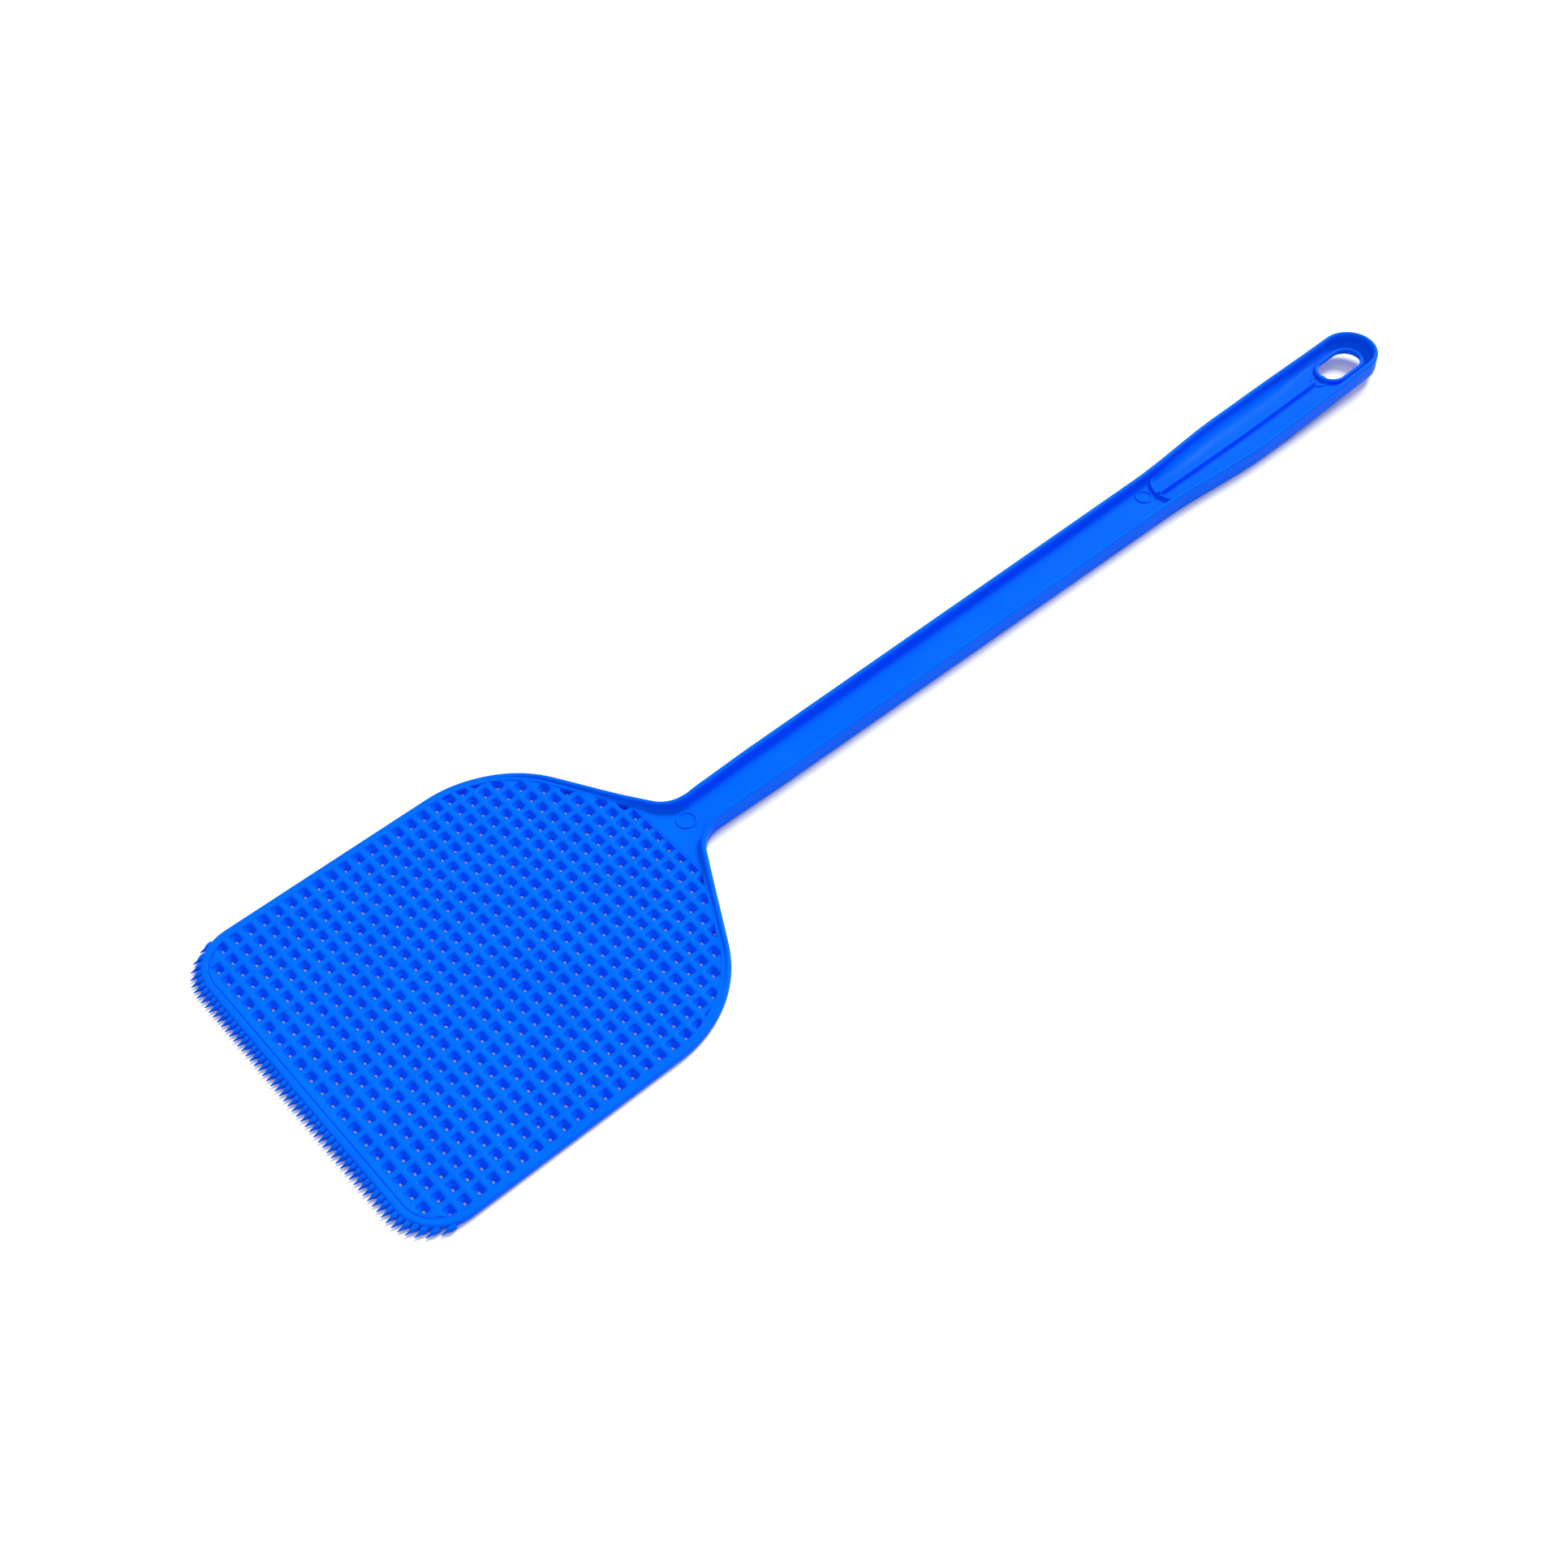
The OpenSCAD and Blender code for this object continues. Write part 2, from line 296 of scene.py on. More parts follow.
def make_plastic():
    """Blue polypropylene: a faint pigment drift, moulding ripple and a fine satin grain."""
    mat = bpy.data.materials.new("blue_plastic")
    mat.use_nodes = True
    nodes, links = mat.node_tree.nodes, mat.node_tree.links
    shader = nodes["Principled BSDF"]
    shader.inputs["IOR"].default_value = IOR
    shader.inputs["Specular IOR Level"].default_value = SPECULAR
    shader.inputs["Specular Tint"].default_value = SPECULAR_TINT
    place = nodes.new("ShaderNodeTexCoord")

    def noise(scale, detail):
        node = nodes.new("ShaderNodeTexNoise")
        node.inputs["Scale"].default_value = scale
        node.inputs["Detail"].default_value = detail
        links.new(place.outputs["Object"], node.inputs["Vector"])
        return node.outputs["Fac"]

    def spread(source, low, high):
        """The middle of the noise, stretched to run from low to high."""
        node = nodes.new("ShaderNodeMapRange")
        node.inputs["From Min"].default_value = 0.3
        node.inputs["From Max"].default_value = 0.7
        node.inputs["To Min"].default_value = low
        node.inputs["To Max"].default_value = high
        links.new(source, node.inputs["Value"])
        return node.outputs["Result"]

    def bump(source, height):
        node = nodes.new("ShaderNodeBump")
        node.inputs["Strength"].default_value = BUMP_STRENGTH
        node.inputs["Distance"].default_value = height
        links.new(source, node.inputs["Height"])
        return node

    tint = nodes.new("ShaderNodeMix")
    tint.data_type = "RGBA"
    tint.inputs["A"].default_value = BLUE_LOW
    tint.inputs["B"].default_value = BLUE_HIGH
    links.new(spread(noise(*DRIFT), 0, 1), tint.inputs["Factor"])
    links.new(tint.outputs["Result"], shader.inputs["Base Color"])
    links.new(spread(noise(*HAZE), *ROUGHNESS), shader.inputs["Roughness"])

    ripple = bump(noise(*RIPPLE), RIPPLE_HEIGHT)
    grain = bump(noise(*GRAIN), GRAIN_HEIGHT)
    links.new(ripple.outputs["Normal"], grain.inputs["Normal"])
    links.new(grain.outputs["Normal"], shader.inputs["Normal"])
    return mat


plastic = make_plastic()

# ---------------------------------------------------------------- head frame

CREST_R = FLANGE_T / 2
CREST_STEPS = 12
FILLET_STEPS = 5
# Radius of the rim's lower outer edge, and how much it gains towards the neck
RIM_UNDER_R, RIM_UNDER_GAIN = 0.9, 0.5
# Greatest height and the width of the curve between the crest and the ledge inside it
LEDGE_FILLET_H, LEDGE_FILLET_W = 0.8, 0.75
# How far the inner edge of the rim is sunk below its top, so that it meets the mesh softly
LEDGE_DIPS = ((RIM_W - 0.12, 0.03), (RIM_W, 0.15))
# Depth, place and width of the groove behind the lip that carries the teeth
GROOVE_DEPTH, GROOVE_AT, GROOVE_WIDTH = 0.4, 2.1, 0.26


def flange_top(x):
    """Height of the flange: the rim rises along the shoulders and turns into it."""
    rise = SHOULDER_RISE * ease(waist_x - 42, waist_x - 14, x)
    return RIM_H + rise + (FLANGE_H - RIM_H - SHOULDER_RISE) * ease(
        waist_x - 17, waist_x + 4, x
    )


def quarter(steps):
    """Pairs of 1 - cos and 1 - sin over a quarter turn."""
    angles = [math.pi / 2 * i / steps for i in range(steps + 1)]
    return [(1 - math.cos(a), 1 - math.sin(a)) for a in angles]


def rim_section(crest, neck_share, groove):
    """Section of the rim and of the flange that grows out of it, as offset and height.

    neck_share is 0 for the plain rim and 1 where the neck begins; groove is the depth of
    the line between the rim and the lip that carries the teeth.
    """
    ledge = RIM_H - (RIM_H - WEB_T) * neck_share
    under = RIM_UNDER_R + RIM_UNDER_GAIN * neck_share
    rise = crest - ledge
    inner_drop = min(CREST_R, rise)
    fillet = min(LEDGE_FILLET_H, rise - inner_drop)
    points = [(RIM_W, 0.0)]
    points += [(under * v, under * u) for u, v in quarter(FILLET_STEPS)]
    for i in range(CREST_STEPS + 1):
        a = math.pi * (1 - i / CREST_STEPS)
        d = CREST_R * (1 + math.cos(a))
        drop = CREST_R if a > math.pi / 2 else inner_drop
        points.append((d, crest - drop * (1 - math.sin(a))))
    inner = FLANGE_T + 0.02
    points += [
        (inner + LEDGE_FILLET_W * u, ledge + fillet * v) for u, v in quarter(FILLET_STEPS)
    ]
    points += [(d, ledge - dip) for d, dip in LEDGE_DIPS]
    return [
        (d, z - groove * math.exp(-(((d - GROOVE_AT) / GROOVE_WIDTH) ** 2)))
        if z > RIM_H / 2 else (d, z)
        for d, z in points
    ]


def head_frame():
    rings = []
    for x, y, nx, ny in head_outline():
        share = ease(waist_x - 22, NECK_X0, x)
        groove = GROOVE_DEPTH * (1 - ease(EDGE_X + 3, EDGE_X + CORNER_R, x))
        section = rim_section(flange_top(x), share, groove)
        rings.append([(x + nx * d, y + ny * d, z) for d, z in section])
    piece = add_piece("head_frame", *loft(rings), body="head")
    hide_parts("head_rim", "shoulder_bead_left", "shoulder_bead_right")


# ---------------------------------------------------------------- mesh panel


def clamp_to_head(points, inset):
    """Moves the points that lie outside the inset head outline onto it."""
    outline = head_outline()
    line = outline[:, :2] + outline[:, 2:] * inset
    a, b = line, np.roll(line, -1, axis=0)
    inside = np.zeros(len(points), bool)
    best = np.full(len(points), 1e9)
    nearest = points.copy()
    for p, q in zip(a, b):
        crosses = (p[1] > points[:, 1]) != (q[1] > points[:, 1])
        if p[1] != q[1]:
            at = p[0] + (points[:, 1] - p[1]) * (q[0] - p[0]) / (q[1] - p[1])
            inside ^= crosses & (points[:, 0] < at)
        run = q - p
        t = np.clip((points - p) @ run / (run @ run), 0, 1)
        foot = p + t[:, None] * run
        gap = np.linalg.norm(points - foot, axis=1)
        closer = gap < best
        best[closer] = gap[closer]
        nearest[closer] = foot[closer]
    return np.where(inside[:, None], points, nearest), inside


# Half sizes of a hole at its mouth; the walls lean inwards towards the underside
MOUTH_X, MOUTH_Y = 1.50, 1.74
# Rings of a hole as inset from the mouth, height (None where the strands' own height
# counts) and drop below that height
HOLE_RINGS = (
    (-0.12, None, 0),
    (0.0, None, 0.04),
    (0.1, None, 0.2),
    (0.2, None, 0.5),
    (0.7, 1.0, 0),
    (1.2, MESH_BASE + 0.05, 0),
)
# The strands are crowned, and those across the head stand higher than those along it
CROWN = 0.14
CROSS_STRAND_TOP = MESH_TOP + 0.12
LONG_STRAND_TOP = MESH_TOP - 0.1
STRAND_BLEND = 0.12
# The panel's edge is sunk a little into the rim
PANEL_INSET = RIM_W - 0.12
# A hole with no more than this many of its twelve points inside the rim stays closed
MOUTH_LEFT = 3
WELD_DISTANCE = 0.00002


def strand_height(dx, dy):
    """Height of the moulded strands, dx and dy from the middles of the two strands."""
    cross = CROSS_STRAND_TOP - CROWN * (dx / (CELL_X / 2 - MOUTH_X)) ** 2
    long = LONG_STRAND_TOP - CROWN * (dy / (CELL_Y / 2 - MOUTH_Y)) ** 2
    share = np.clip(0.5 + 0.5 * (cross - long) / STRAND_BLEND, 0, 1)
    return long + (cross - long) * share + STRAND_BLEND * 0.5 * share * (1 - share)


def rounded_rectangle(half_x, half_y, r):
    """Twelve points: the start, middle and end of each corner's arc."""
    points = []
    for cx, cy, a0 in ((1, 1, 0), (-1, 1, 90), (-1, -1, 180), (1, -1, 270)):
        for k in range(3):
            a = math.radians(a0 + 45 * k)
            points.append(
                (cx * (half_x - r) + r * math.cos(a), cy * (half_y - r) + r * math.sin(a))
            )
    return np.array(points)


def cell_rings():
    """Rings of one cell about the hole's centre: points, height and drop below it.

    They run from the cell's edge on top, down the hole and out to the cell's edge below.
    """
    hx, hy = MOUTH_X, MOUTH_Y
    edge = rounded_rectangle(CELL_X / 2, CELL_Y / 2, 1e-3)
    for k, (sx, sy) in enumerate(((1, 1), (-1, 1), (-1, -1), (1, -1))):
        side_x, side_y = sx * CELL_X / 2, sy * CELL_Y / 2
        near_y, near_x = sy * (hy - 0.5), sx * (hx - 0.5)
        first, last = (side_x, near_y), (near_x, side_y)
        if k % 2:
            first, last = last, first
        edge[3 * k], edge[3 * k + 1], edge[3 * k + 2] = first, (side_x, side_y), last

    def hole(inset):
        return rounded_rectangle(hx - inset, hy - inset, max(0.25, 0.65 - inset * 0.5))

    holes = [(hole(inset), z, drop) for inset, z, drop in HOLE_RINGS]
    return [(edge, None, 0), *holes, (edge, MESH_BASE, 0)]


def mesh_panel():
    rings = cell_rings()
    m = len(rings[0][0])
    shape = []
    for points, z, drop in rings:
        if z is None:
            dx = CELL_X / 2 - np.abs(points[:, 0])
            dy = CELL_Y / 2 - np.abs(points[:, 1])
            z = strand_height(dx, dy) - drop
        shape.append(np.column_stack([points, np.broadcast_to(z, m)]))
    shape = np.array(shape)
    x0 = EDGE_X + FIRST_HOLE + HOLE_X / 2
    cells, kept, closed = [], {}, set()
    for i in range(COLUMNS):
        for j in range(ROWS):
            centre = np.array([x0 + i * CELL_X, (j - (ROWS - 1) / 2) * CELL_Y, 0])
            cell = shape + centre
            if i == 0:  # the front strand is wider and runs into the rim
                on_edge = shape[..., 0] < -CELL_X / 2 + 1e-6
                cell[..., 0][on_edge] = EDGE_X + PANEL_INSET
            if i == COLUMNS - 1:
                on_edge = shape[..., 0] > CELL_X / 2 - 1e-6
                cell[..., 0][on_edge] = MESH_END_X + 0.6
            _, inside = clamp_to_head(cell[0][:, :2], PANEL_INSET)
            if inside.any():
                kept[i, j] = len(cells)
                cells.append(cell)
                mouth = clamp_to_head(cell[2][:, :2], PANEL_INSET)[1]
                if mouth.sum() <= MOUTH_LEFT:  # too little of the hole is left to open it
                    closed.add((i, j))
    verts = np.array(cells).reshape(-1, 3)
    verts[:, :2] = clamp_to_head(verts[:, :2], PANEL_INSET)[0]
    faces = []
    per_cell = len(rings) * m
    for (i, j), c in kept.items():
        base = c * per_cell
        if (i, j) in closed:
            low = base + (len(rings) - 1) * m
            faces.append(tuple(range(base, base + m)))
            faces.append(tuple(range(low, low + m))[::-1])
        for r in range(0 if (i, j) in closed else len(rings) - 1):
            a, b = base + r * m, base + (r + 1) * m
            for k in range(m):
                q = (k + 1) % m
                faces.append((a + k, a + q, b + q, b + k))
        # walls where the next cell is missing: right, back, left and front side
        top, low = base, base + (len(rings) - 1) * m
        sides = (((1, 0), (10, 11, 0, 1)), ((0, 1), (1, 2, 3, 4)))
        sides += (((-1, 0), (4, 5, 6, 7)), ((0, -1), (7, 8, 9, 10)))
        for (di, dj), line in sides:
            if (i + di, j + dj) not in kept:
                for p, q in zip(line[:-1], line[1:]):
                    faces.append((low + p, low + q, top + q, top + p))
    piece = add_piece("mesh_panel", verts, faces, crease=50)
    weld(piece)
    face_outwards(piece.data)
    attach(piece, "head")
    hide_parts("striking_mesh")


def weld(obj):
    """Joins the points that neighbouring cells share and drops the unused ones."""
    weld_modifier = obj.modifiers.new("weld", "WELD")
    weld_modifier.merge_threshold = WELD_DISTANCE
    apply_modifiers(obj)
    bm = bmesh.new()
    bm.from_mesh(obj.data)
    loose = [v for v in bm.verts if not v.link_faces]
    bmesh.ops.delete(bm, geom=loose, context="VERTS")
    bm.to_mesh(obj.data)
    bm.free()


def apply_modifiers(obj):
    graph = bpy.context.evaluated_depsgraph_get()
    baked = bpy.data.meshes.new_from_object(obj.evaluated_get(graph))
    obj.modifiers.clear()
    old, obj.data = obj.data, baked
    baked.name = old.name + "_final"
    bpy.data.meshes.remove(old)


# ---------------------------------------------------------------- teeth


def front_edge_x(y):
    """Where the head's outline crosses y at the front."""
    over = abs(y) - (HEAD_HALF - CORNER_R)
    if over <= 0:
        return EDGE_X
    return EDGE_X + CORNER_R - math.sqrt(CORNER_R**2 - over**2)


# Sections of a tooth as distance from the edge, half width, top and underside
TOOTH_SECTIONS = (
    (-0.5, 0.97, MESH_TOP - 0.1, MESH_BASE),
    (0.0, 0.97, MESH_TOP - 0.12, MESH_BASE),
    (0.6, 0.92, MESH_TOP - 0.18, MESH_BASE),
    (1.1, 0.76, MESH_TOP - 0.3, MESH_BASE),
    (1.6, 0.52, MESH_TOP - 0.5, MESH_BASE + 0.05),
    (2.2, 0.26, MESH_TOP - 0.85, MESH_BASE + 0.2),
    (TOOTH_LEN, 0.08, MESH_TOP - 1.15, MESH_BASE + 0.4),
)


def tooth(y):
    """One tapered tooth with a crowned top that slopes down to its tip."""
    root_x = front_edge_x(y)
    rings = []
    for out, half, top, low in TOOTH_SECTIONS:
        x = root_x - out
        height = top - low
        shoulder, brow = top - 0.35 * height, top - 0.1 * height
        section = [(-half * 0.8, low), (half * 0.8, low), (half, shoulder)]
        section += [(half * 0.62, brow), (0, top), (-half * 0.62, brow), (-half, shoulder)]
        rings.append([(x, y + v, z) for v, z in section])
    return loft(rings)


def comb():
    parts = [tooth((i - (TEETH - 1) / 2) * TOOTH_PITCH) for i in range(TEETH)]
    piece = add_piece("comb_teeth", *join(parts), body="head", crease=60)
    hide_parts("front_comb")


# ---------------------------------------------------------------- channel of the handle

# Radius of the channel's lower edges
UNDER_R = 1.4
# Width and height of the curve between the web and the flanges, and what the grip adds
WEB_FILLET = (1.3, 1.2)
GRIP_FILLET_GAIN = (3.4, 1.7)
# Distance over which the curve grows where the grip begins
GRIP_FILLET_RUN = 25
# Share of the gain that is lost by the rounded end
GRIP_FILLET_FADE = 0.7


def web_fillet(x):
    """Width and height of the curve between the web and the flanges, larger in the grip."""
    grown = ease(SWELL[0], SWELL[0] + GRIP_FILLET_RUN, x)
    grip = grown * (1 - GRIP_FILLET_FADE * ease(PLATE_X0 - 15, PLATE_X0 + 5, x))
    return tuple(base + gain * grip for base, gain in zip(WEB_FILLET, GRIP_FILLET_GAIN))


def half_section(half, top, fillet):
    """Half of the channel's section, as distance from the axis and height.

    It runs from the underside's middle over the flange to the web's middle.
    """
    fillet_w, fillet_h = fillet
    points = [(0.0, 0.0), (half * 0.5, 0.0)]
    points += [(half - UNDER_R * v, UNDER_R * u) for u, v in quarter(FILLET_STEPS)]
    for i in range(CREST_STEPS + 1):
        a = math.pi * i / CREST_STEPS
        points.append(
            (half - CREST_R + CREST_R * math.cos(a), top - CREST_R * (1 - math.sin(a)))
        )
    inner = half - FLANGE_T
    points += [
        (inner - fillet_w * u, WEB_T + fillet_h * v) for u, v in quarter(CREST_STEPS)
    ]
    points += [(half * 0.3, WEB_T), (0.0, WEB_T)]
    return points


def full_section(x, half):
    """Closed ring of the channel's whole section in the plane of one x."""
    right = half_section(half, flange_top(x), web_fillet(x))
    ring = [(x, y, z) for y, z in right]
    ring += [(x, -y, z) for y, z in reversed(right[1:-1])]
    return ring


def stations(x0, x1, pitch):
    n = max(1, round((x1 - x0) / pitch))
    return [x0 + (x1 - x0) * i / n for i in range(n + 1)]


def neck_outline_half(x):
    """Half width between the start of the neck and the shaft."""
    if x < waist_x:
        return NECK_HALF + NECK_R - math.sqrt(NECK_R**2 - (waist_x - x) ** 2)
    return handle_half(x)


NECK_PITCH = 0.75
HANDLE_PITCH = 3
END_TURNS = 36


def neck():
    places = stations(NECK_X0, NECK_X1, NECK_PITCH)
    rings = [full_section(x, neck_outline_half(x)) for x in places]
    piece = add_piece("neck_channel", *loft(rings))
    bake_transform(piece)
    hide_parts("neck")


def channel_with_round_end(x0):
    """Skin of the channel from x0 to the rounded end, whose section turns round its centre."""
    places = stations(x0, END_CENTRE_X, HANDLE_PITCH)
    rings = [full_section(x, handle_half(x)) for x in places]
    verts, faces = loft(rings)
    faces.pop()  # the rounded end takes the last cap's place
    verts = list(map(tuple, verts))
    ring_len = len(rings[0])
    last = len(verts) - ring_len
    half = half_section(END_R, FLANGE_H, web_fillet(END_CENTRE_X))
    h = len(half)
    left = [last + k for k in range(h)]
    right = [last] + [last + ring_len - k for k in range(1, h - 1)] + [last + h - 1]
    previous = left
    for t in range(1, END_TURNS + 1):
        if t == END_TURNS:
            current = right
        else:
            a = math.pi / 2 - math.pi * t / END_TURNS
            current = [left[0]]
            for r, z in half[1:-1]:
                current.append(len(verts))
                verts.append((END_CENTRE_X + r * math.cos(a), r * math.sin(a), z))
            current.append(left[-1])
        for k in range(h - 1):
            quad = [previous[k], current[k], current[k + 1], previous[k + 1]]
            faces.append(tuple(dict.fromkeys(quad)))
        previous = current
    return np.array(verts), faces


def stadium(cx, half_run, r, steps=21):
    """Outline of a round-ended slot along X, anticlockwise."""
    points = []
    for side, a0 in ((1, -90), (-1, 90)):
        for i in range(steps + 1):
            a = math.radians(a0 + 180 * i / steps)
            points.append((cx + side * half_run + r * math.cos(a), r * math.sin(a)))
    return points


slot_x = (collar_lo[0] + collar_hi[0]) / 2
slot_r = collar_hi[1] - COLLAR_T
slot_half_run = (collar_hi[0] - collar_lo[0]) / 2 - collar_hi[1]


def prism(outline, low, high):
    """Closed prism over an outline."""
    return loft([[(x, y, z) for x, y in outline] for z in (low, high)])


def cut(piece, skin):
    """Takes a skin, lifted by the bend, out of a piece."""
    mesh = bpy.data.meshes.new("cutter")
    verts, faces = skin
    mesh.from_pydata((lifted(verts) * MM).tolist(), [], faces)
    tool = bpy.data.objects.new("cutter", mesh)
    bpy.context.scene.collection.objects.link(tool)
    face_outwards(mesh)
    boolean = piece.modifiers.new("cut", "BOOLEAN")
    boolean.operation = "DIFFERENCE"
    boolean.solver = "EXACT"
    boolean.object = tool
    apply_modifiers(piece)
    bpy.data.objects.remove(tool)


def handle():
    verts, faces = channel_with_round_end(NECK_X1)
    piece = add_piece("handle_channel", lifted(verts), faces)
    through = stadium(slot_x, slot_half_run, slot_r + RELIEF)
    cut(piece, prism(through, -1, WEB_T + 1))
    core_r = END_R - FLANGE_T
    core = [
        (END_CENTRE_X + core_r * math.cos(a), core_r * math.sin(a))
        for a in np.linspace(-math.pi / 2, math.pi / 2, 41)
    ]
    core = [(PLATE_X0, -core_r), *core, (PLATE_X0, core_r)]
    cut(piece, prism(core, -1, WEB_T - PLATE_T))
    piece.data.shade_smooth()
    piece.data.set_sharp_from_angle(angle=math.radians(CREASE))
    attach(piece, "handle")
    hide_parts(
        "shaft_web",
        "shaft_flange_left",
        "shaft_flange_right",
        "grip_web",
        "grip_flange_left",
        "grip_flange_right",
        "end_wall",
        "slot_plate",
    )


# ---------------------------------------------------------------- small features


def ring_loft(outlines):
    """Closed band from a list of (outline, height) pairs that run round its section."""
    rings = np.array([[(x, y, z) for x, y in outline] for outline, z in outlines])
    return loft(np.swapaxes(rings, 0, 1), closed=True)


# How far the collar, rings and ribs are sunk into the web
SINK = 0.1
COLLAR_ROUND = 0.5


def collar():
    """Low collar with a rounded outer edge and a small chamfer round the slot."""

    def at(grow, z):
        return stadium(slot_x, slot_half_run, slot_r + grow), z

    top = WEB_T + COLLAR_H
    r = COLLAR_ROUND
    section = [at(0, WEB_T - SINK), at(COLLAR_T, WEB_T - SINK)]
    section += [at(COLLAR_T - r * u, top - r * v) for u, v in quarter(5)]
    section += [at(0.35, top), at(0.1, top - 0.1), at(0, top - 0.35)]
    verts, faces = ring_loft(section)
    piece = add_piece("slot_rim", lifted(verts), faces, body="handle")
    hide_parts("slot_collar")


def circle(cx, cy, r, steps=40):
    return [
        (cx + r * math.cos(a), cy + r * math.sin(a))
        for a in np.arange(steps) * 2 * math.pi / steps
    ]


def ejector_ring(cx, cy, r):
    """Low witness ring with soft edges."""
    foot, low, high = WEB_T - SINK, WEB_T + 0.1, WEB_T + RING_H - 0.08
    edge = [(0, foot), (0, low), (0.12, high), (0.3, WEB_T + RING_H)]
    section = [(circle(cx, cy, r - d), z) for d, z in edge]
    section += [(circle(cx, cy, r - RING_T + d), z) for d, z in reversed(edge)]
    return ring_loft(section)


def pin_rings():
    lo, hi = cad("throat_ring")
    r = (hi[0] - lo[0]) / 2
    skin = ejector_ring((lo[0] + hi[0]) / 2, (lo[1] + hi[1]) / 2, r)
    piece = add_piece("throat_pin_ring", *skin, body="head")
    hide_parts("throat_ring")
    lo, hi = cad("grip_rings")
    r = hi[1] / 2
    front = ejector_ring(lo[0] + r, r, r)
    rear = ejector_ring(PLATE_X0 + r, 0, r)
    verts, faces = join([front, rear])
    piece = add_piece("grip_pin_rings", lifted(verts), faces, body="handle")
    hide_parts("grip_rings")


# Height of the small curve at a rib's foot, and its width
RIB_FOOT = 0.35
# Half of the angle that the cross rib spans
ARC_REACH = 66


def rib_section(half, base, top):
    """Section of a rib with a rounded top and a small foot fillet, as offset and height."""
    r = half * 0.8
    side = [(half + RIB_FOOT, base - 0.05), (half + 0.12, base + 0.12)]
    side += [(half, base + RIB_FOOT)]
    side += [(half - r * u, top - r * v) for u, v in quarter(4)]
    return side + [(-d, z) for d, z in reversed(side)]


def ribs():
    section = rib_section(RIB_T / 2, WEB_T, WEB_T + RIB_H)
    places = (RIB_X, *stations(RIB_X + 1, PLATE_X0, HANDLE_PITCH))
    verts, faces = loft([[(x, d, z) for d, z in section] for x in places])
    piece = add_piece("spine_rib", lifted(verts), faces, body="handle")
    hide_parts("centre_rib")
    section = rib_section(RIB_T / 2, WEB_T, ARC_TOP)
    centre_x = RIB_X + ARC_R
    skin = []
    for a in np.radians(np.linspace(180 - ARC_REACH, 180 + ARC_REACH, 31)):
        c, s = math.cos(a), math.sin(a)
        skin.append([(centre_x + (ARC_R + d) * c, (ARC_R + d) * s, z) for d, z in section])
    piece = add_piece("arc_rib", *loft(skin), body="handle")
    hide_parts("cross_rib")


THROAT_INSET = 1.2


def throat():
    """Flat plate behind the mesh; its edge is sunk into the rim and the flanges."""
    half = [p for p in head_half_outline() if p[0] > MESH_END_X - 8]
    line = np.array([(x + nx * THROAT_INSET, y + ny * THROAT_INSET) for x, y, nx, ny in half])
    k = next(i for i, (x, _) in enumerate(line) if x > MESH_END_X)
    a, b = line[k - 1], line[k]
    first = a + (b - a) * (MESH_END_X - a[0]) / (b[0] - a[0])
    edge = [tuple(first)] + [(x, y) for x, y in line if x > MESH_END_X]
    outline = edge + [(x, -y) for x, y in reversed(edge)]
    piece = add_piece("throat_panel", *prism(outline, 0.0, WEB_T), body="head")
    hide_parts("throat_plate")


head_frame()
mesh_panel()
comb()
throat()
neck()
handle()
collar()
pin_rings()
ribs()

# ---------------------------------------------------------------- stage, light and camera


FLOOR_COLOR = (0.93, 0.93, 0.93, 1)
FLOOR_HALF = 6.0
# The floor lies a hair under the swatter, in metres
FLOOR_GAP = 0.00002
WORLD_STRENGTH = 0.72
# Azimuth, elevation and spread in degrees, and strength
KEY_LIGHT = (12, 44, 22, 3.15)


def make_floor():
    mat = bpy.data.materials.new("floor")
    mat.use_nodes = True
    shader = mat.node_tree.nodes["Principled BSDF"]
    shader.inputs["Base Color"].default_value = FLOOR_COLOR
    shader.inputs["Roughness"].default_value = 0.9
    shader.inputs["Specular IOR Level"].default_value = 0.1
    mesh = bpy.data.meshes.new("floor")
    h = FLOOR_HALF
    corners = [(-h, -h, 0), (h, -h, 0), (h, h, 0), (-h, h, 0)]
    mesh.from_pydata(corners, [], [(0, 1, 2, 3)])
    mesh.materials.append(mat)
    floor = bpy.data.objects.new("floor", mesh)
    bpy.context.scene.collection.objects.link(floor)
    floor.location.z = -FLOOR_GAP


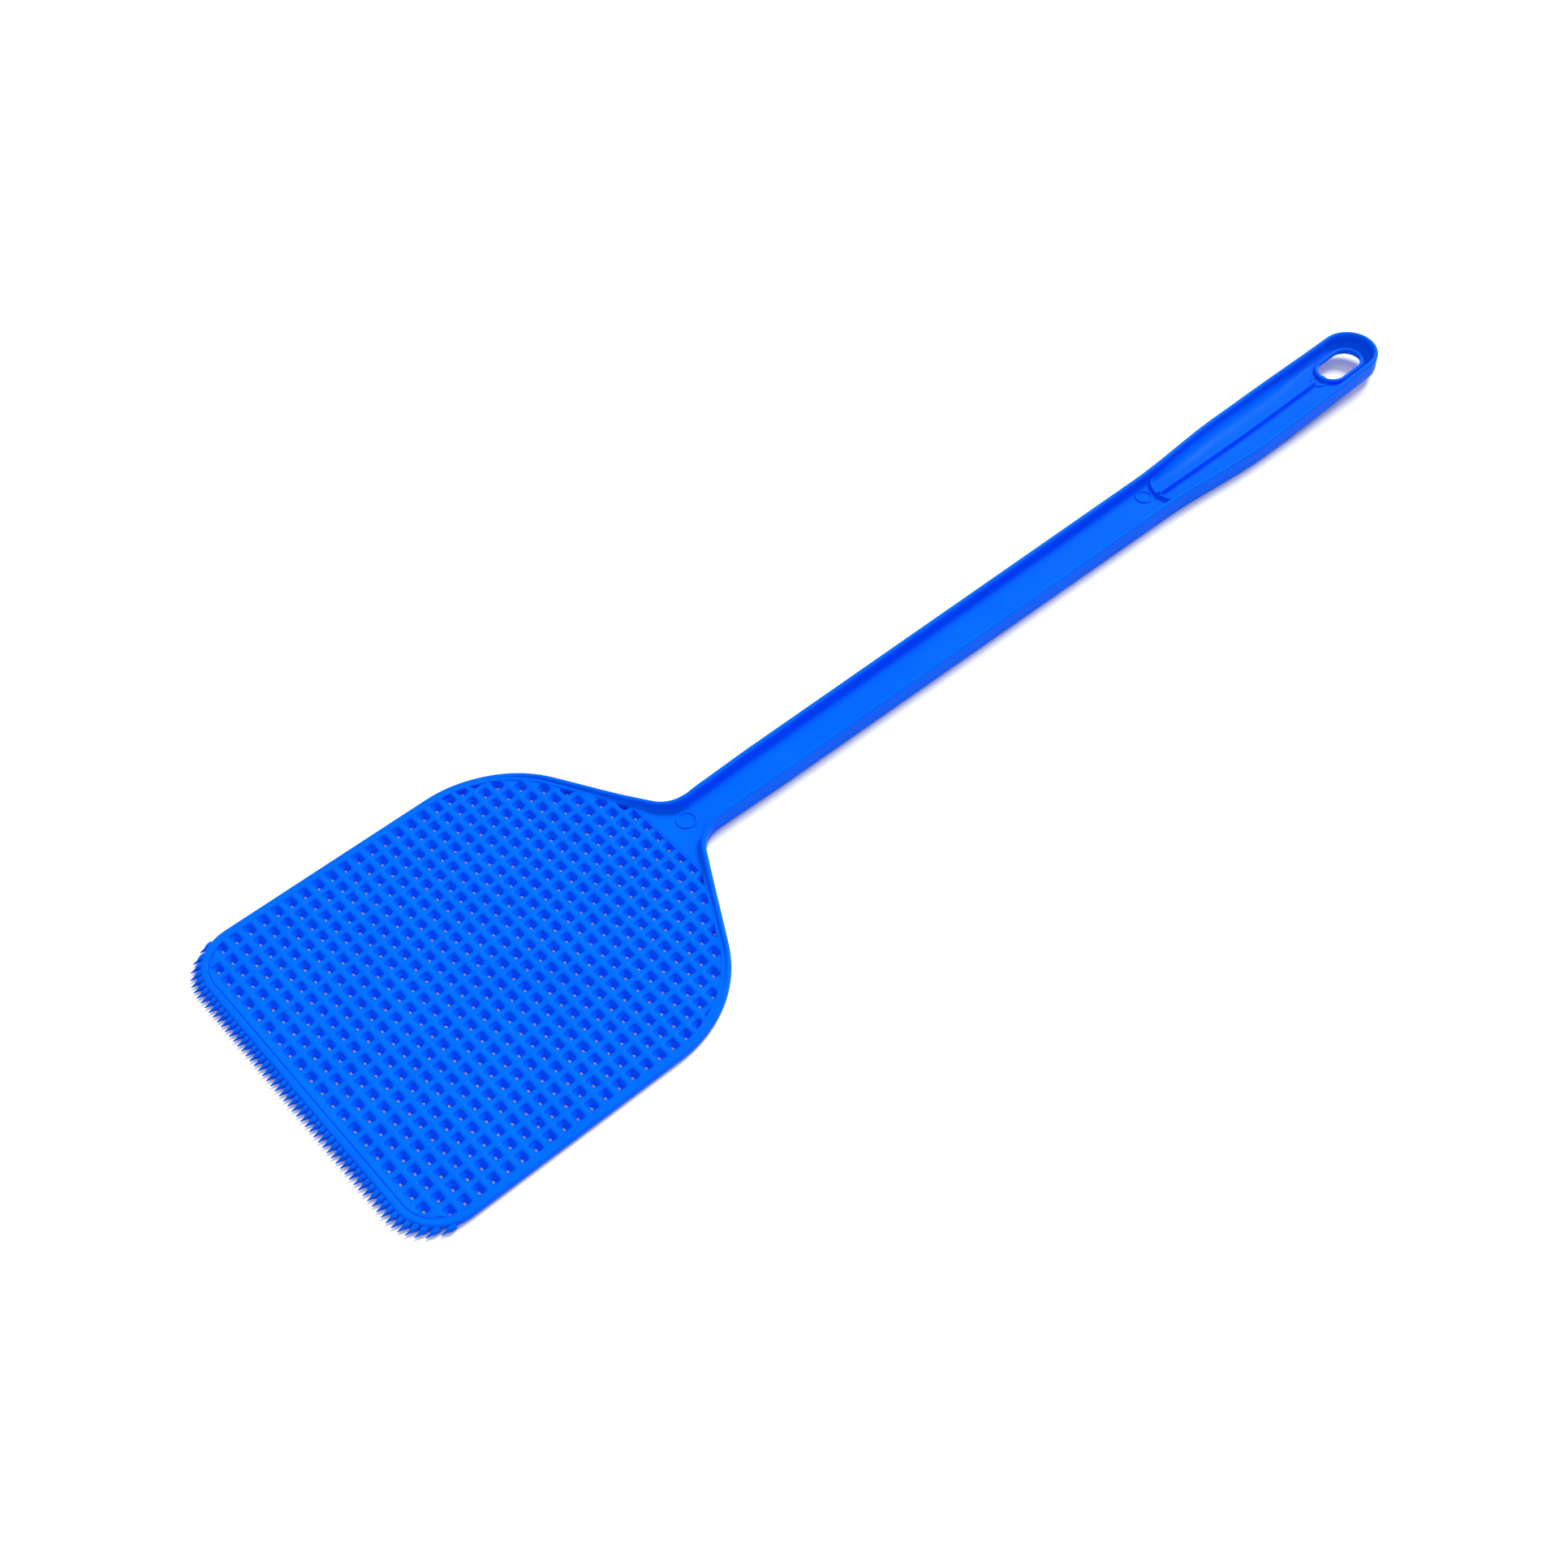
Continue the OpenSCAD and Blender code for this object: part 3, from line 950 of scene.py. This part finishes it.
def far_light(name, azimuth, elevation, spread, strength):
    """Soft light from far away; angles in degrees, azimuth from +X towards +Y."""
    light = bpy.data.lights.new(name, "SUN")
    light.angle = math.radians(spread)
    light.energy = strength
    lamp = bpy.data.objects.new(name, light)
    bpy.context.scene.collection.objects.link(lamp)
    a, e = math.radians(azimuth), math.radians(elevation)
    towards = Vector((math.cos(e) * math.cos(a), math.cos(e) * math.sin(a), math.sin(e)))
    lamp.rotation_euler = towards.to_track_quat("Z", "Y").to_euler()


def make_light():
    world = bpy.data.worlds.new("studio")
    bpy.context.scene.world = world
    world.use_nodes = True
    world.node_tree.nodes["Background"].inputs["Color"].default_value = (1, 1, 1, 1)
    world.node_tree.nodes["Background"].inputs["Strength"].default_value = WORLD_STRENGTH
    far_light("key", *KEY_LIGHT)


# Angles in degrees, aim and distance in metres, lens and sensor in millimetres
CAMERA_AZIMUTH = -38.53
CAMERA_ELEVATION = 51.24
CAMERA_ROLL = 3.27
CAMERA_DISTANCE = 0.60667
CAMERA_AIM = (-0.04865, -0.00604, 0.0)
CAMERA_LENS = 49.354
SENSOR = 36


def make_camera():
    a, e = math.radians(CAMERA_AZIMUTH), math.radians(CAMERA_ELEVATION)
    back = Vector((math.sin(a) * math.cos(e), -math.cos(a) * math.cos(e), math.sin(e)))
    level_right = Vector((math.cos(a), math.sin(a), 0))
    level_up = back.cross(level_right)
    r = math.radians(CAMERA_ROLL)
    right = level_right * math.cos(r) - level_up * math.sin(r)
    up = level_up * math.cos(r) + level_right * math.sin(r)
    data = bpy.data.cameras.new("camera")
    data.sensor_width = SENSOR
    data.lens = CAMERA_LENS
    data.clip_start = 0.01
    camera = bpy.data.objects.new("camera", data)
    bpy.context.scene.collection.objects.link(camera)
    turned = Matrix((right, up, back)).transposed().to_4x4()
    turned.translation = Vector(CAMERA_AIM) + back * CAMERA_DISTANCE
    camera.matrix_world = turned
    bpy.context.scene.camera = camera


make_floor()
make_light()
make_camera()
bpy.context.scene.view_settings.view_transform = "Standard"
